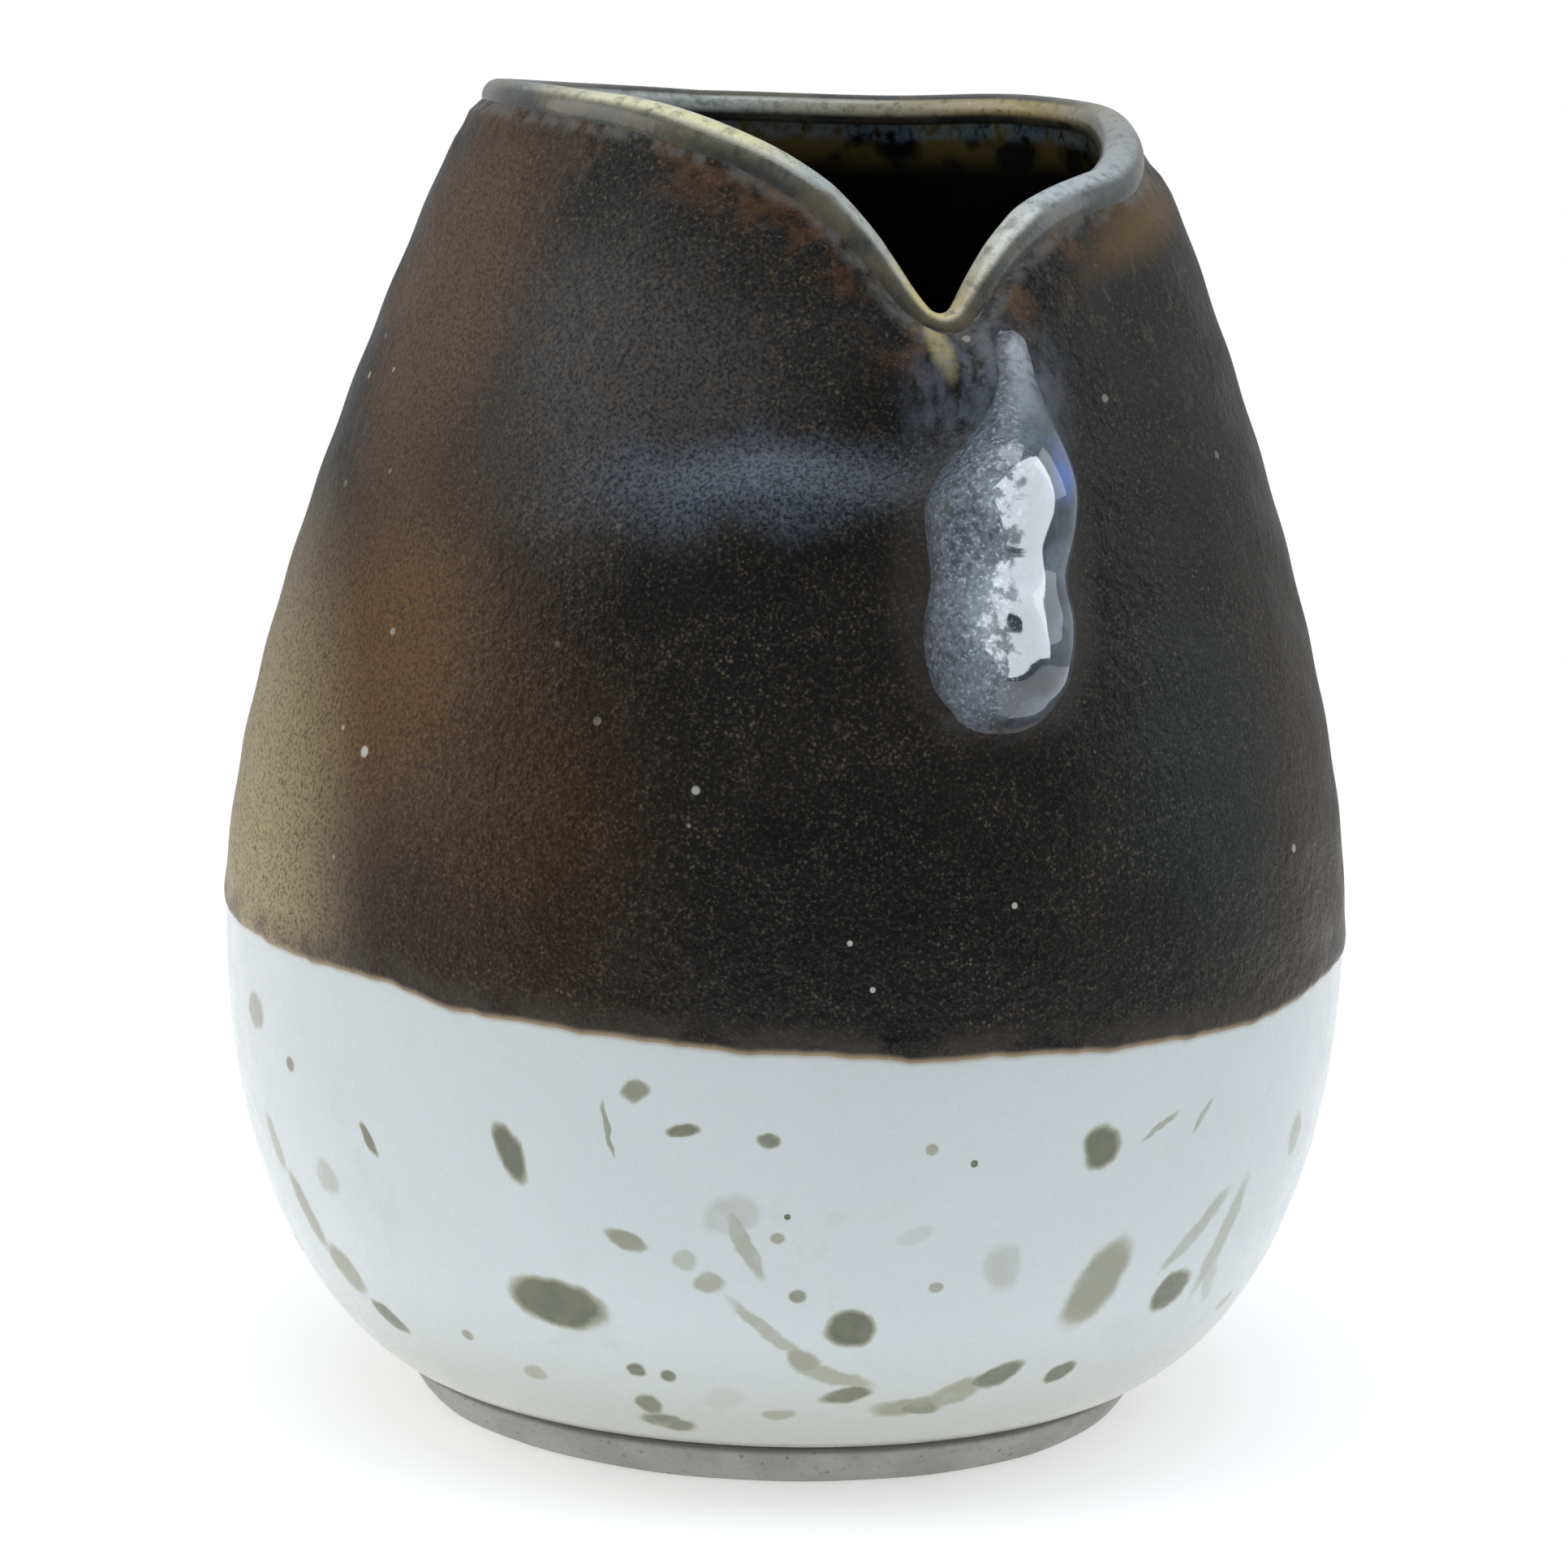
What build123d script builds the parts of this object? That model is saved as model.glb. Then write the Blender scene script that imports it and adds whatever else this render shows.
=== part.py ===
"""Hand-thrown stoneware sake bottle with a lapped V notch in its mouth.

Millimetres, +Z up, origin at the centre of the foot, on the table. The notch and the
applied teardrop face -Y. Azimuths are in degrees about Z, from -Y towards +X.
The pot is one fired piece with no moving parts. Each body of clay and each coat of
glaze is a solid of its own, and neighbours meet face to face.
"""
import os
from math import cos, radians, sin, tan

from build123d import *

# Outer form, over the white coat
belly_radius = 45.8
belly_height = 40.3             # height of the widest place
lip_height = 106.7              # top of the lip above the middle of the foot
shoulder_radius = 27.0          # at lip_height
shoulder_taper = 23.4           # lean of the shoulder at the lip, from vertical
shoulder_fullness = 16.1        # reach of the upright start of the shoulder curve
shoulder_straightness = 27.4    # reach of its straight end
lower_fullness = 23.5           # reach of the lower curve straight down from the belly
base_spread = 6.9               # reach of the lower curve straight out of the foot
base_slope = 21.5               # slope of the base at the foot, from horizontal

# Foot
foot_height = 3.3
foot_radius = 30.6              # at its top, where the white coat stops
foot_undercut = 1.6             # how far it draws in towards the table
foot_width = 6.4                # breadth of the ring at its top
foot_edge_radius = 0.8
base_recess = 1.2               # depth turned out of the base inside the ring

# Thicknesses
wall_thickness = 3.6
floor_thickness = 6.2
upper_glaze_thickness = 0.6
lower_glaze_thickness = 0.4
liner_glaze_thickness = 0.4
teardrop_glaze_thickness = 0.5

# Bowl-shaped bottom of the hollow
floor_corner = 10.8             # its inner curve leaves the floor this far inside the belly
inner_fullness = 25.0           # reach of the inner curve straight down from the belly

# Edge between the two outer coats: a plane that leans a little
glaze_line_drop = 0.5           # below the widest place
glaze_line_rise = 1.4           # how much higher it is at its high side
glaze_line_azimuth = -120.0     # its high side

# Rolled lip, and the two lapels that run down into the notch. Its top edge is laid
# out seen from the front: a line that leans, and one curve down each lapel.
lip_lean = 4.8                  # its left end is this many degrees high
lip_depth = 4.2                 # from its top edge down to the wall
lip_overhang = 0.5              # how far it stands out from the glazed wall, each side
lapel_inset = 3.0               # each lapel starts to fall this far inside the shoulder radius
notch_depth = 15.7              # bottom of the notch below the top of the lip
notch_offset = 0.3              # and how far right of the middle it is
left_lapel = (14.8, 13.5, 64.0)     # its reach at the top and at the notch, its slope there
right_lapel = (8.0, 14.0, 67.0)

# Applied teardrop: its axis lies just under the surface and follows the wall
teardrop_radius = 6.3
teardrop_neck_radius = 2.3
teardrop_drop = 27.0            # from its top, level with the notch, to its bottom
teardrop_bottom_azimuth = 0.4
teardrop_top_azimuth = 6.0
teardrop_widest = 10.5          # from its bottom end, along the axis
teardrop_taper = 9.0            # reach of the curves between the belly and the neck
teardrop_sink = 1.6             # axis below the surface of the clay

LAPEL_STEPS = 8                 # stretches along a lapel's line inside the wall
ROUND = 0.55                    # reach of a Bezier quarter round, as a share of its radius

floor_spread = belly_radius - floor_corner
glaze_line_height = belly_height - glaze_line_drop
lapel_reach = shoulder_radius - lapel_inset
notch_height = lip_height - notch_depth
upper_step = upper_glaze_thickness - lower_glaze_thickness
clay_inset = lower_glaze_thickness
hollow_inset = clay_inset + wall_thickness
liner_inset = hollow_inset + liner_glaze_thickness
cut_reach = belly_radius + lip_height           # tools reach past the pot


def polar(radius, azimuth, height):
    """Point at an azimuth counted from -Y towards +X."""
    angle = radians(azimuth)
    return Vector(radius * sin(angle), -radius * cos(angle), height)


def shoulder(inset):
    """Half section from the belly up past the lip, this far inside the white coat."""
    taper = radians(shoulder_taper)
    belly_r = belly_radius - inset
    lip_r = shoulder_radius - inset / cos(taper)
    reach_in = shoulder_straightness * sin(taper)
    reach_down = shoulder_straightness * cos(taper)
    curve = Bezier(
        (belly_r, 0, belly_height),
        (belly_r, 0, belly_height + shoulder_fullness),
        (lip_r + reach_in, 0, lip_height - reach_down),
        (lip_r, 0, lip_height),
    )
    rise = 4 * lip_depth
    collar = Line((lip_r, 0, lip_height), (lip_r - rise * tan(taper), 0, lip_height + rise))
    return [curve, collar]


def base(inset):
    """Half section from the foot up to the belly, this far inside the white coat."""
    slope = radians(base_slope)
    foot_r = foot_radius - inset / sin(slope)
    belly_r = belly_radius - inset
    return Bezier(
        (foot_r, 0, foot_height),
        (foot_r + base_spread * cos(slope), 0, foot_height + base_spread * sin(slope)),
        (belly_r, 0, belly_height - lower_fullness),
        (belly_r, 0, belly_height),
    )


def bowl(inset, floor_height):
    """Half section of the hollow from the middle of its floor up to the belly."""
    belly_r = belly_radius - inset
    return Bezier(
        (0, 0, floor_height),
        (floor_spread, 0, floor_height),
        (belly_r, 0, belly_height - inner_fullness),
        (belly_r, 0, belly_height),
    )


def revolved(edges):
    """Solid turned about Z from edges that rise, closed along the axis."""
    first, last = edges[0] @ 0, edges[-1] @ 1
    outline = list(edges) + [Line(last, (0, 0, last.Z)), Line((0, 0, last.Z), (0, 0, first.Z))]
    if first.X > 0:
        outline.append(Line((0, 0, first.Z), first))
    return revolve(make_face(outline), Axis.Z, 360)


def outer_form(inset):
    """Whole form of the pot, this far inside the white coat."""
    return revolved([base(inset)] + shoulder(inset))


def hollow_form(inset, floor_height):
    """Form of the hollow with its wall this far inside the white coat."""
    return revolved([bowl(inset, floor_height)] + shoulder(inset))


def shoulder_radius_at(height, inset):
    """Radius of the shoulder at a height, found by halving along its curve."""
    curve = Wire(shoulder(inset))
    low, high = 0.0, 1.0
    for _ in range(30):
        middle = (low + high) / 2
        if (curve @ middle).Z < height:
            low = middle
        else:
            high = middle
    return (curve @ low).X


def lip_line(across):
    """Height of the level stretch of the lip, this far to the right of the middle."""
    return lip_height - across * tan(radians(lip_lean))


def lapel(side, reaches, depth):
    """Line of one lapel down to the notch, this deep into the wall from its top edge."""
    top_reach, notch_reach, slope = reaches
    start = side * lapel_reach
    onward = side * (lapel_reach - top_reach)
    edge = Bezier(
        (start, 0, lip_line(start)),
        (onward, 0, lip_line(onward)),
        (
            notch_offset + side * notch_reach * cos(radians(slope)),
            0,
            notch_height + notch_reach * sin(radians(slope)),
        ),
        (notch_offset, 0, notch_height),
    )
    if not depth:
        return edge
    points = []
    for step in range(LAPEL_STEPS + 1):
        point, along = edge @ (step / LAPEL_STEPS), edge % (step / LAPEL_STEPS)
        points.append(point + Vector(-side * along.Z, 0, side * along.X) * depth)
    return Spline(points, tangents=(edge % 0, edge % 1))


def over_lip(depth):
    """Two tools for the space over the lip, and this deep into it: back half and front."""
    left, right = lapel(-1, left_lapel, depth), lapel(1, right_lapel, depth)
    sink = depth / cos(radians(lip_lean))
    far_left, far_right = [
        (side * cut_reach, 0, lip_line(side * cut_reach) - sink) for side in (-1, 1)
    ]
    over = Polyline(
        far_left, (-cut_reach, 0, 2 * cut_reach), (cut_reach, 0, 2 * cut_reach), far_right
    )
    down = [Line(far_left, left @ 0), left]
    if depth:
        bottom = (notch_offset, 0, notch_height - depth)
        down.append(ThreePointArc(left @ 1, bottom, right @ 1))
    down += [right, Line(right @ 0, far_right)]
    back = make_face(list(over.edges()) + [Line(far_left, far_right)])
    front = make_face(list(over.edges()) + down)
    return [extrude(back, cut_reach, (0, 1, 0)), extrude(front, cut_reach, (0, -1, 0))]


def rim_roll():
    """Rolled lip: a thick edge on the wall, rounded along its top."""
    collar = outer_form(-upper_step - lip_overhang) - hollow_form(liner_inset + lip_overhang, 0)
    halves = []
    for lower, upper in zip(over_lip(lip_depth), over_lip(0)):
        halves.append((collar & lower) - upper)
    return halves[0] + halves[1]


def carve(piece, tools):
    """The piece with each tool taken away in turn."""
    for tool in tools:
        piece = piece - tool
    return piece


def teardrop_form(thickness):
    """Teardrop this much thicker than its clay, turned about its own axis."""
    ends = []
    for height, azimuth in (
        (notch_height - teardrop_drop, teardrop_bottom_azimuth),
        (notch_height, teardrop_top_azimuth),
    ):
        radius = shoulder_radius_at(height, clay_inset + teardrop_sink)
        ends.append(polar(radius, azimuth, height))
    length = (ends[1] - ends[0]).length
    belly_r = teardrop_radius + thickness
    neck_r = teardrop_neck_radius + thickness
    low, high = -thickness, length + thickness
    neck = high - neck_r
    half = [
        Bezier(
            (0, 0, low),
            (ROUND * belly_r, 0, low),
            (belly_r, 0, teardrop_widest - ROUND * (teardrop_widest - low)),
            (belly_r, 0, teardrop_widest),
        ),
        Bezier(
            (belly_r, 0, teardrop_widest),
            (belly_r, 0, teardrop_widest + teardrop_taper),
            (neck_r, 0, neck - teardrop_taper),
            (neck_r, 0, neck),
        ),
        Bezier(
            (neck_r, 0, neck),
            (neck_r, 0, neck + ROUND * neck_r),
            (ROUND * neck_r, 0, high),
            (0, 0, high),
        ),
        Line((0, 0, high), (0, 0, low)),
    ]
    drop = revolve(make_face(half), Axis.Z, 360)
    return Plane(origin=ends[0], z_dir=ends[1] - ends[0]) * drop


def foot_ring():
    """Turned ring that the pot stands on, bare of glaze."""
    inner_top = foot_radius - foot_width
    section = make_face(
        Polyline(
            (inner_top, 0, foot_height),
            (foot_radius, 0, foot_height),
            (foot_radius - foot_undercut, 0, 0),
            (inner_top + foot_undercut, 0, 0),
            close=True,
        )
    )
    standing = section.vertices().group_by(Axis.Z)[0]
    return revolve(fillet(standing, foot_edge_radius), Axis.Z, 360)


def recess():
    """Shallow dished hollow turned out of the base inside the ring."""
    radius = foot_radius - foot_width
    section = make_face(
        [
            Line((0, 0, foot_height), (radius, 0, foot_height)),
            Bezier(
                (radius, 0, foot_height),
                (radius - base_recess, 0, foot_height + base_recess),
                (radius / 2, 0, foot_height + base_recess),
                (0, 0, foot_height + base_recess),
            ),
            Line((0, 0, foot_height + base_recess), (0, 0, foot_height)),
        ]
    )
    return revolve(section, Axis.Z, 360)


def above_glaze_line():
    """Half space above the edge between the two outer coats."""
    lean = glaze_line_rise / belly_radius
    side = polar(1, glaze_line_azimuth, 0)
    plane = Plane(
        origin=(0, 0, glaze_line_height), z_dir=(-lean * side.X, -lean * side.Y, 1)
    )
    size = 2 * cut_reach
    return plane * Box(size, size, size, align=(Align.CENTER, Align.CENTER, Align.MIN))


def build():
    """All the pieces, by name."""
    floor_height = foot_height + floor_thickness
    clay = outer_form(clay_inset)
    hollow = hollow_form(hollow_inset, floor_height)
    cup = hollow_form(liner_inset, floor_height + liner_glaze_thickness)
    lip = rim_roll()
    open_end = over_lip(lip_depth)
    drop = teardrop_form(0)
    glazed_drop = teardrop_form(teardrop_glaze_thickness)
    above = above_glaze_line()
    return {
        "foot_ring": foot_ring(),
        "body_wall": carve(clay - hollow - recess(), open_end),
        "rim_roll": lip,
        "teardrop": drop - clay - lip,
        "lower_glaze": outer_form(0) - clay - above,
        "upper_glaze": carve((outer_form(-upper_step) - clay) & above, open_end + [glazed_drop]),
        "liner_glaze": carve(hollow - cup, open_end),
        "teardrop_glaze": glazed_drop - drop - clay - lip,
    }


os.makedirs("parts", exist_ok=True)
for name, piece in build().items():
    export_step(piece, f"parts/{name}.step")
    print(name, len(piece.solids()), "solid, volume", round(piece.volume))
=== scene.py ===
"""Looks of a hand-thrown sake bottle with a pinched V in its mouth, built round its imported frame.

Lengths here are millimetres until they become vertices, which are metres.
Azimuths are degrees counted from -Y, where the V is, towards +X.
"""
from math import cos, pi, radians, sin, tan

import bpy
import numpy as np
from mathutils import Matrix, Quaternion, Vector


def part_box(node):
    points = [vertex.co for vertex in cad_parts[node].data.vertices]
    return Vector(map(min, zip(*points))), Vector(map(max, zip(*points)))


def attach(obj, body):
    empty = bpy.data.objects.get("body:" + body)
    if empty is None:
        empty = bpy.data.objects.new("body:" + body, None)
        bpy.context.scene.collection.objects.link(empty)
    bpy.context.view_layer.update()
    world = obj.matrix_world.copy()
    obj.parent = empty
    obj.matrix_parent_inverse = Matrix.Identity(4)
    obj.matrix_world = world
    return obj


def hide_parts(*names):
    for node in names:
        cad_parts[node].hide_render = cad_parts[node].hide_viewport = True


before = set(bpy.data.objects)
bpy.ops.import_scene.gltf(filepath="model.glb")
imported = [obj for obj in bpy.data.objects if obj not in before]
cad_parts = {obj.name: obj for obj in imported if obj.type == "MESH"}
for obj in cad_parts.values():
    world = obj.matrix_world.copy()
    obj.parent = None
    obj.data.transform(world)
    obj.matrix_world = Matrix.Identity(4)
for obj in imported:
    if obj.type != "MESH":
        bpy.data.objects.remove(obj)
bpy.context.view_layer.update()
MM = 0.001
random = np.random.default_rng(7)

# Form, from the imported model's own boxes where it has them
coat_low, coat_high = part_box("lower_glaze")
BELLY_R = (coat_high.x - coat_low.x) / 2 / MM * 1.0075
FOOT_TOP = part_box("foot_ring")[1].z / MM
BELLY_Z = 40.3
FOOT_R = 30.6
SHOULDER_R = 27.0
SHOULDER_Z = 106.7
TAPER = radians(23.4)
SLOPE = radians(21.5)
SHOULDER_FULLNESS = 17.0
SHOULDER_STRAIGHTNESS = 27.4
LOWER_FULLNESS = 23.5
BASE_SPREAD = 6.9
COLLAR = 25.0

WALL = 4.6                  # clay with both coats
UPPER_STEP = 0.12           # the brown coat stands this far over the white one
FLOOR_Z = 6.6
FLOOR_SPREAD = 35.0
INNER_FULLNESS = 25.0
LEVEL_Z = 60.0              # below this height the columns of the mesh run straight down
V_AZIMUTH = -0.8

# Middle of the rolled lip all round: azimuth, height
LIP_LINE = [
    (-180, 105.6), (-150, 106.4), (-120, 107.3), (-88, 107.8), (-66, 107.5), (-49.5, 106.8),
    (-36.5, 105.4), (-26, 103.5), (-18.5, 101.3), (-11.8, 98.2), (-8.9, 96.3), (-6.9, 94.9), (-5.0, 93.7),
    (-3.4, 92.9), (-1.8, 92.55), (-0.2, 92.55), (1.2, 92.8), (2.6, 93.4), (4.2, 94.4), (6.2, 95.6),
    (8.6, 96.8), (11.2, 97.9), (14.3, 98.9), (18.5, 100), (25, 101), (33, 101.7), (41, 102.2),
    (51, 103.3), (75, 105.9), (110, 106.4), (145, 105.5), (180, 105.6),
]
LIP_ROLL = 2.0              # radius of the roll on the lapels
LIP_ROLL_BACK = 1.35
LIP_ROLL_NOTCH = 1.25
CREASE_ANGLE = 35.0         # the roll meets the wall this far round below its outermost point
# How far the lip leans out of the wall: azimuth, distance
LIP_LEAN = [
    (-180, 0.2), (-120, 0.3), (-90, 0.5), (-60, 0.2), (20, 0.2), (50, -0.2), (70, -0.4), (90, -0.4),
    (125, 0.1), (180, 0.2),
]

# Ends of the two lapels below the V, as low ridges: start, end, rise, width
LAPEL_TAILS = [((-3.6, 92.2), (-1.6, 89.3), 1.2, 1.3), ((4.4, 92.8), (3.4, 87.0), 0.5, 1.6)]

# Flat pressed into the shoulder beside the V
PRESSED_AZIMUTH = -21
PRESSED_WIDTH = 18
PRESSED_FOOT = 78.8
PRESSED_STEP = 4.6
PRESSED_TOP = 102
PRESSED_DEPTH = 1.5

# Lower edge of the brown coat: azimuth, height
GLAZE_LINE = [
    (-180, 40.6), (-140, 41.2), (-98, 41.3), (-80, 41.1), (-71, 41.3), (-63, 41.2), (-54, 39.9),
    (-46, 40.1), (-36, 39.5), (-27, 39.2), (-18, 39), (-10, 38.6), (1, 38.6), (9, 38.5), (21, 38.3),
    (28, 38.4), (37, 38.7), (51, 39.8), (62, 39.9), (110, 40.2), (150, 40), (180, 40.6),
]

# Small waves of that edge: number round the pot, size, phase
EDGE_WAVES = [(17, 0.1, 0.4), (41, 0.05, 2.1), (73, 0.05, 4.0), (109, 0.03, 1.3), (151, 0.02, 5.1)]
COAT_OVERLAP = 1.2          # the white coat runs on this far under the brown one

# Applied drop: height, azimuth of its middle, half width, how far it stands out
DROP = [
    (62.2, 0.2, 0.5, -0.6), (63.0, 0.2, 2.7, 1.5), (64.6, 0.3, 4.6, 3.6), (67.3, 0.4, 5.8, 4.9),
    (70.3, 0.7, 6.0, 5.1), (73.6, 1.2, 5.6, 4.1), (76.4, 1.9, 6.0, 4.9), (79.4, 2.6, 6.1, 5.3),
    (82.2, 3.8, 4.8, 4.6), (85.0, 5.6, 3.0, 2.9), (87.8, 6.4, 1.9, 1.7), (89.9, 6.8, 1.5, 1.2),
    (91.4, 6.9, 1.0, 0.7), (92.0, 7.0, 0.4, -0.5),
]
DROP_HOLLOW = (-1.2, 70.2)  # dimple in the drop's face: across from its middle, height
DROP_HOLLOW_DEPTH = 0.75
DROP_BURIED = 1.6           # the drop's back lies this deep in the wall
SKIRT = 1.25                # the wall's coat rises this far to meet the drop
SKIRT_FADE = 1.7


# --- form
def bezier(a, b, c, d, count=240):
    t = np.linspace(0, 1, count)[:, None]
    a, b, c, d = (np.array(p, float) for p in (a, b, c, d))
    return (1 - t) ** 3 * a + 3 * (1 - t) ** 2 * t * b + 3 * (1 - t) * t * t * c + t ** 3 * d


shoulder_end = (SHOULDER_R, SHOULDER_Z)
profile = np.vstack([
    bezier(
        (FOOT_R, FOOT_TOP),
        (FOOT_R + BASE_SPREAD * cos(SLOPE), FOOT_TOP + BASE_SPREAD * sin(SLOPE)),
        (BELLY_R, BELLY_Z - LOWER_FULLNESS),
        (BELLY_R, BELLY_Z),
    ),
    bezier(
        (BELLY_R, BELLY_Z),
        (BELLY_R, BELLY_Z + SHOULDER_FULLNESS),
        (SHOULDER_R + SHOULDER_STRAIGHTNESS * sin(TAPER), SHOULDER_Z - SHOULDER_STRAIGHTNESS * cos(TAPER)),
        shoulder_end,
    )[1:],
    [(SHOULDER_R - COLLAR * tan(TAPER), SHOULDER_Z + COLLAR)],
])
profile_r, profile_z = profile[:, 0], profile[:, 1]
profile_s = np.concatenate([[0], np.cumsum(np.hypot(np.diff(profile_r), np.diff(profile_z)))])
profile_lean = np.arctan2(np.gradient(profile_r, profile_s), np.gradient(profile_z, profile_s))


def bump_at(azimuth, height, middle, level, wide, tall):
    """Soft round hill in azimuth (degrees) and height."""
    across = (azimuth - middle) / wide
    return np.exp(-across ** 2 - ((height - level) / tall) ** 2)


def unevenness(azimuth, height):
    """How far the hand-made wall stands out from the true form."""
    a = np.radians(azimuth)
    wobble = 0.16 * np.sin(2 * a + 0.7 + height / 40) + 0.1 * np.sin(3 * a - 1.1 + height / 25)
    ridges = 0.05 * np.sin(2 * pi * height / 7.3 + a + 0.8 * np.sin(2 * a))
    ridges = ridges * np.clip((height - 42) / 10, 0, 1)
    fine = 0.015 * np.sin(9 * a + height / 3.1) * np.sin(height / 2.3 + 2 * a)
    step = np.clip((height - PRESSED_FOOT - 0.7 * np.sin(azimuth / 5)) / PRESSED_STEP, 0, 1)
    pressed = step * step * (3 - 2 * step) * np.clip((PRESSED_TOP - height) / 18, 0, 1)
    pressed = pressed * np.exp(-((azimuth - PRESSED_AZIMUTH) / PRESSED_WIDTH) ** 4)
    swell = 0.25 * bump_at(azimuth, height, PRESSED_AZIMUTH, 79.5, PRESSED_WIDTH, 2.5)
    return wobble + ridges + fine - PRESSED_DEPTH * pressed + swell


def drop_row(height):
    heights = [row[0] for row in DROP]
    return [np.interp(height, heights, [row[k] for row in DROP]) for k in (1, 2, 3)]


def skirt(azimuth, height):
    """Rise of the brown coat round the applied drop."""
    level = np.clip(height, 64.5, 91)
    middle, half, _ = drop_row(level)
    radius = np.interp(height, profile_z, profile_r)
    across = np.abs(np.radians(azimuth - middle)) * radius
    outside = np.hypot(np.maximum(across - half * 0.92, 0), height - level)
    strength = SKIRT * np.interp(height, [58, 66, 84, 92], [1, 1, 0.75, 0.3])
    return strength * np.exp(-(outside / SKIRT_FADE) ** 1.5)


def lapel_tail(azimuth, height):
    """Rise of the left lapel's tip, which runs on below the V, and of the softer right one."""
    total = 0
    for (a0, z0), (a1, z1), rise, width in LAPEL_TAILS:
        scale = radians(1) * 35.0
        px, pz = (azimuth - a0) * scale, height - z0
        dx, dz = (a1 - a0) * scale, z1 - z0
        t = np.clip((px * dx + pz * dz) / (dx * dx + dz * dz), 0, 1)
        away = np.hypot(px - t * dx, pz - t * dz)
        total = total + rise * (1 - 0.35 * t) * np.exp(-(away / width) ** 2)
    return total


def on_wall(azimuth, height, out):
    """Points this far out from the true form along its normal."""
    radius = np.interp(height, profile_z, profile_r)
    lean = np.interp(height, profile_z, profile_lean)
    radius = radius + out * np.cos(lean)
    z = height - out * np.sin(lean)
    a = np.radians(azimuth)
    return np.stack([radius * np.sin(a), -radius * np.cos(a), z], -1)


def frame_at(azimuth, height):
    """Unit vectors at a place on the wall: sideways, up along the wall, and out."""
    a, lean = np.radians(azimuth), np.interp(height, profile_z, profile_lean)
    across = np.stack([np.cos(a), np.sin(a), 0 * a], -1)
    radial = np.stack([np.sin(a), -np.cos(a), 0 * a], -1)
    upright = np.array([0, 0, 1.0])
    up = radial * np.sin(lean)[..., None] + upright * np.cos(lean)[..., None]
    out = radial * np.cos(lean)[..., None] - upright * np.sin(lean)[..., None]
    return across, up, out


# --- columns of the mesh
def hermite(t, h, start, start_slope, end, end_slope):
    return (
        (2 * t ** 3 - 3 * t ** 2 + 1) * start + (t ** 3 - 2 * t ** 2 + t) * h * start_slope
        + (3 * t ** 2 - 2 * t ** 3) * end + (t ** 3 - t ** 2) * h * end_slope
    )


def smooth_values(xs, ys, at):
    """Smooth curve through values at uneven places."""
    slopes = np.gradient(ys, xs)
    k = np.clip(np.searchsorted(xs, at) - 1, 0, len(xs) - 2)
    h = xs[k + 1] - xs[k]
    return hermite((at - xs[k]) / h, h, ys[k], slopes[k], ys[k + 1], slopes[k + 1])


def smooth_line(points, count):
    """Evenly many points on a smooth line through the given ones."""
    points = np.array(points, float)
    scaled = points * [radians(1) * 30, 1]
    along = np.concatenate([[0], np.cumsum(np.hypot(*np.diff(scaled, axis=0).T))])
    slopes = np.gradient(points, along, axis=0)
    at = np.linspace(0, along[-1], count)
    k = np.clip(np.searchsorted(along, at) - 1, 0, len(points) - 2)
    h = (along[k + 1] - along[k])[:, None]
    t = ((at - along[k]) / h[:, 0])[:, None]
    return hermite(t, h, points[k], slopes[k], points[k + 1], slopes[k + 1])


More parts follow.
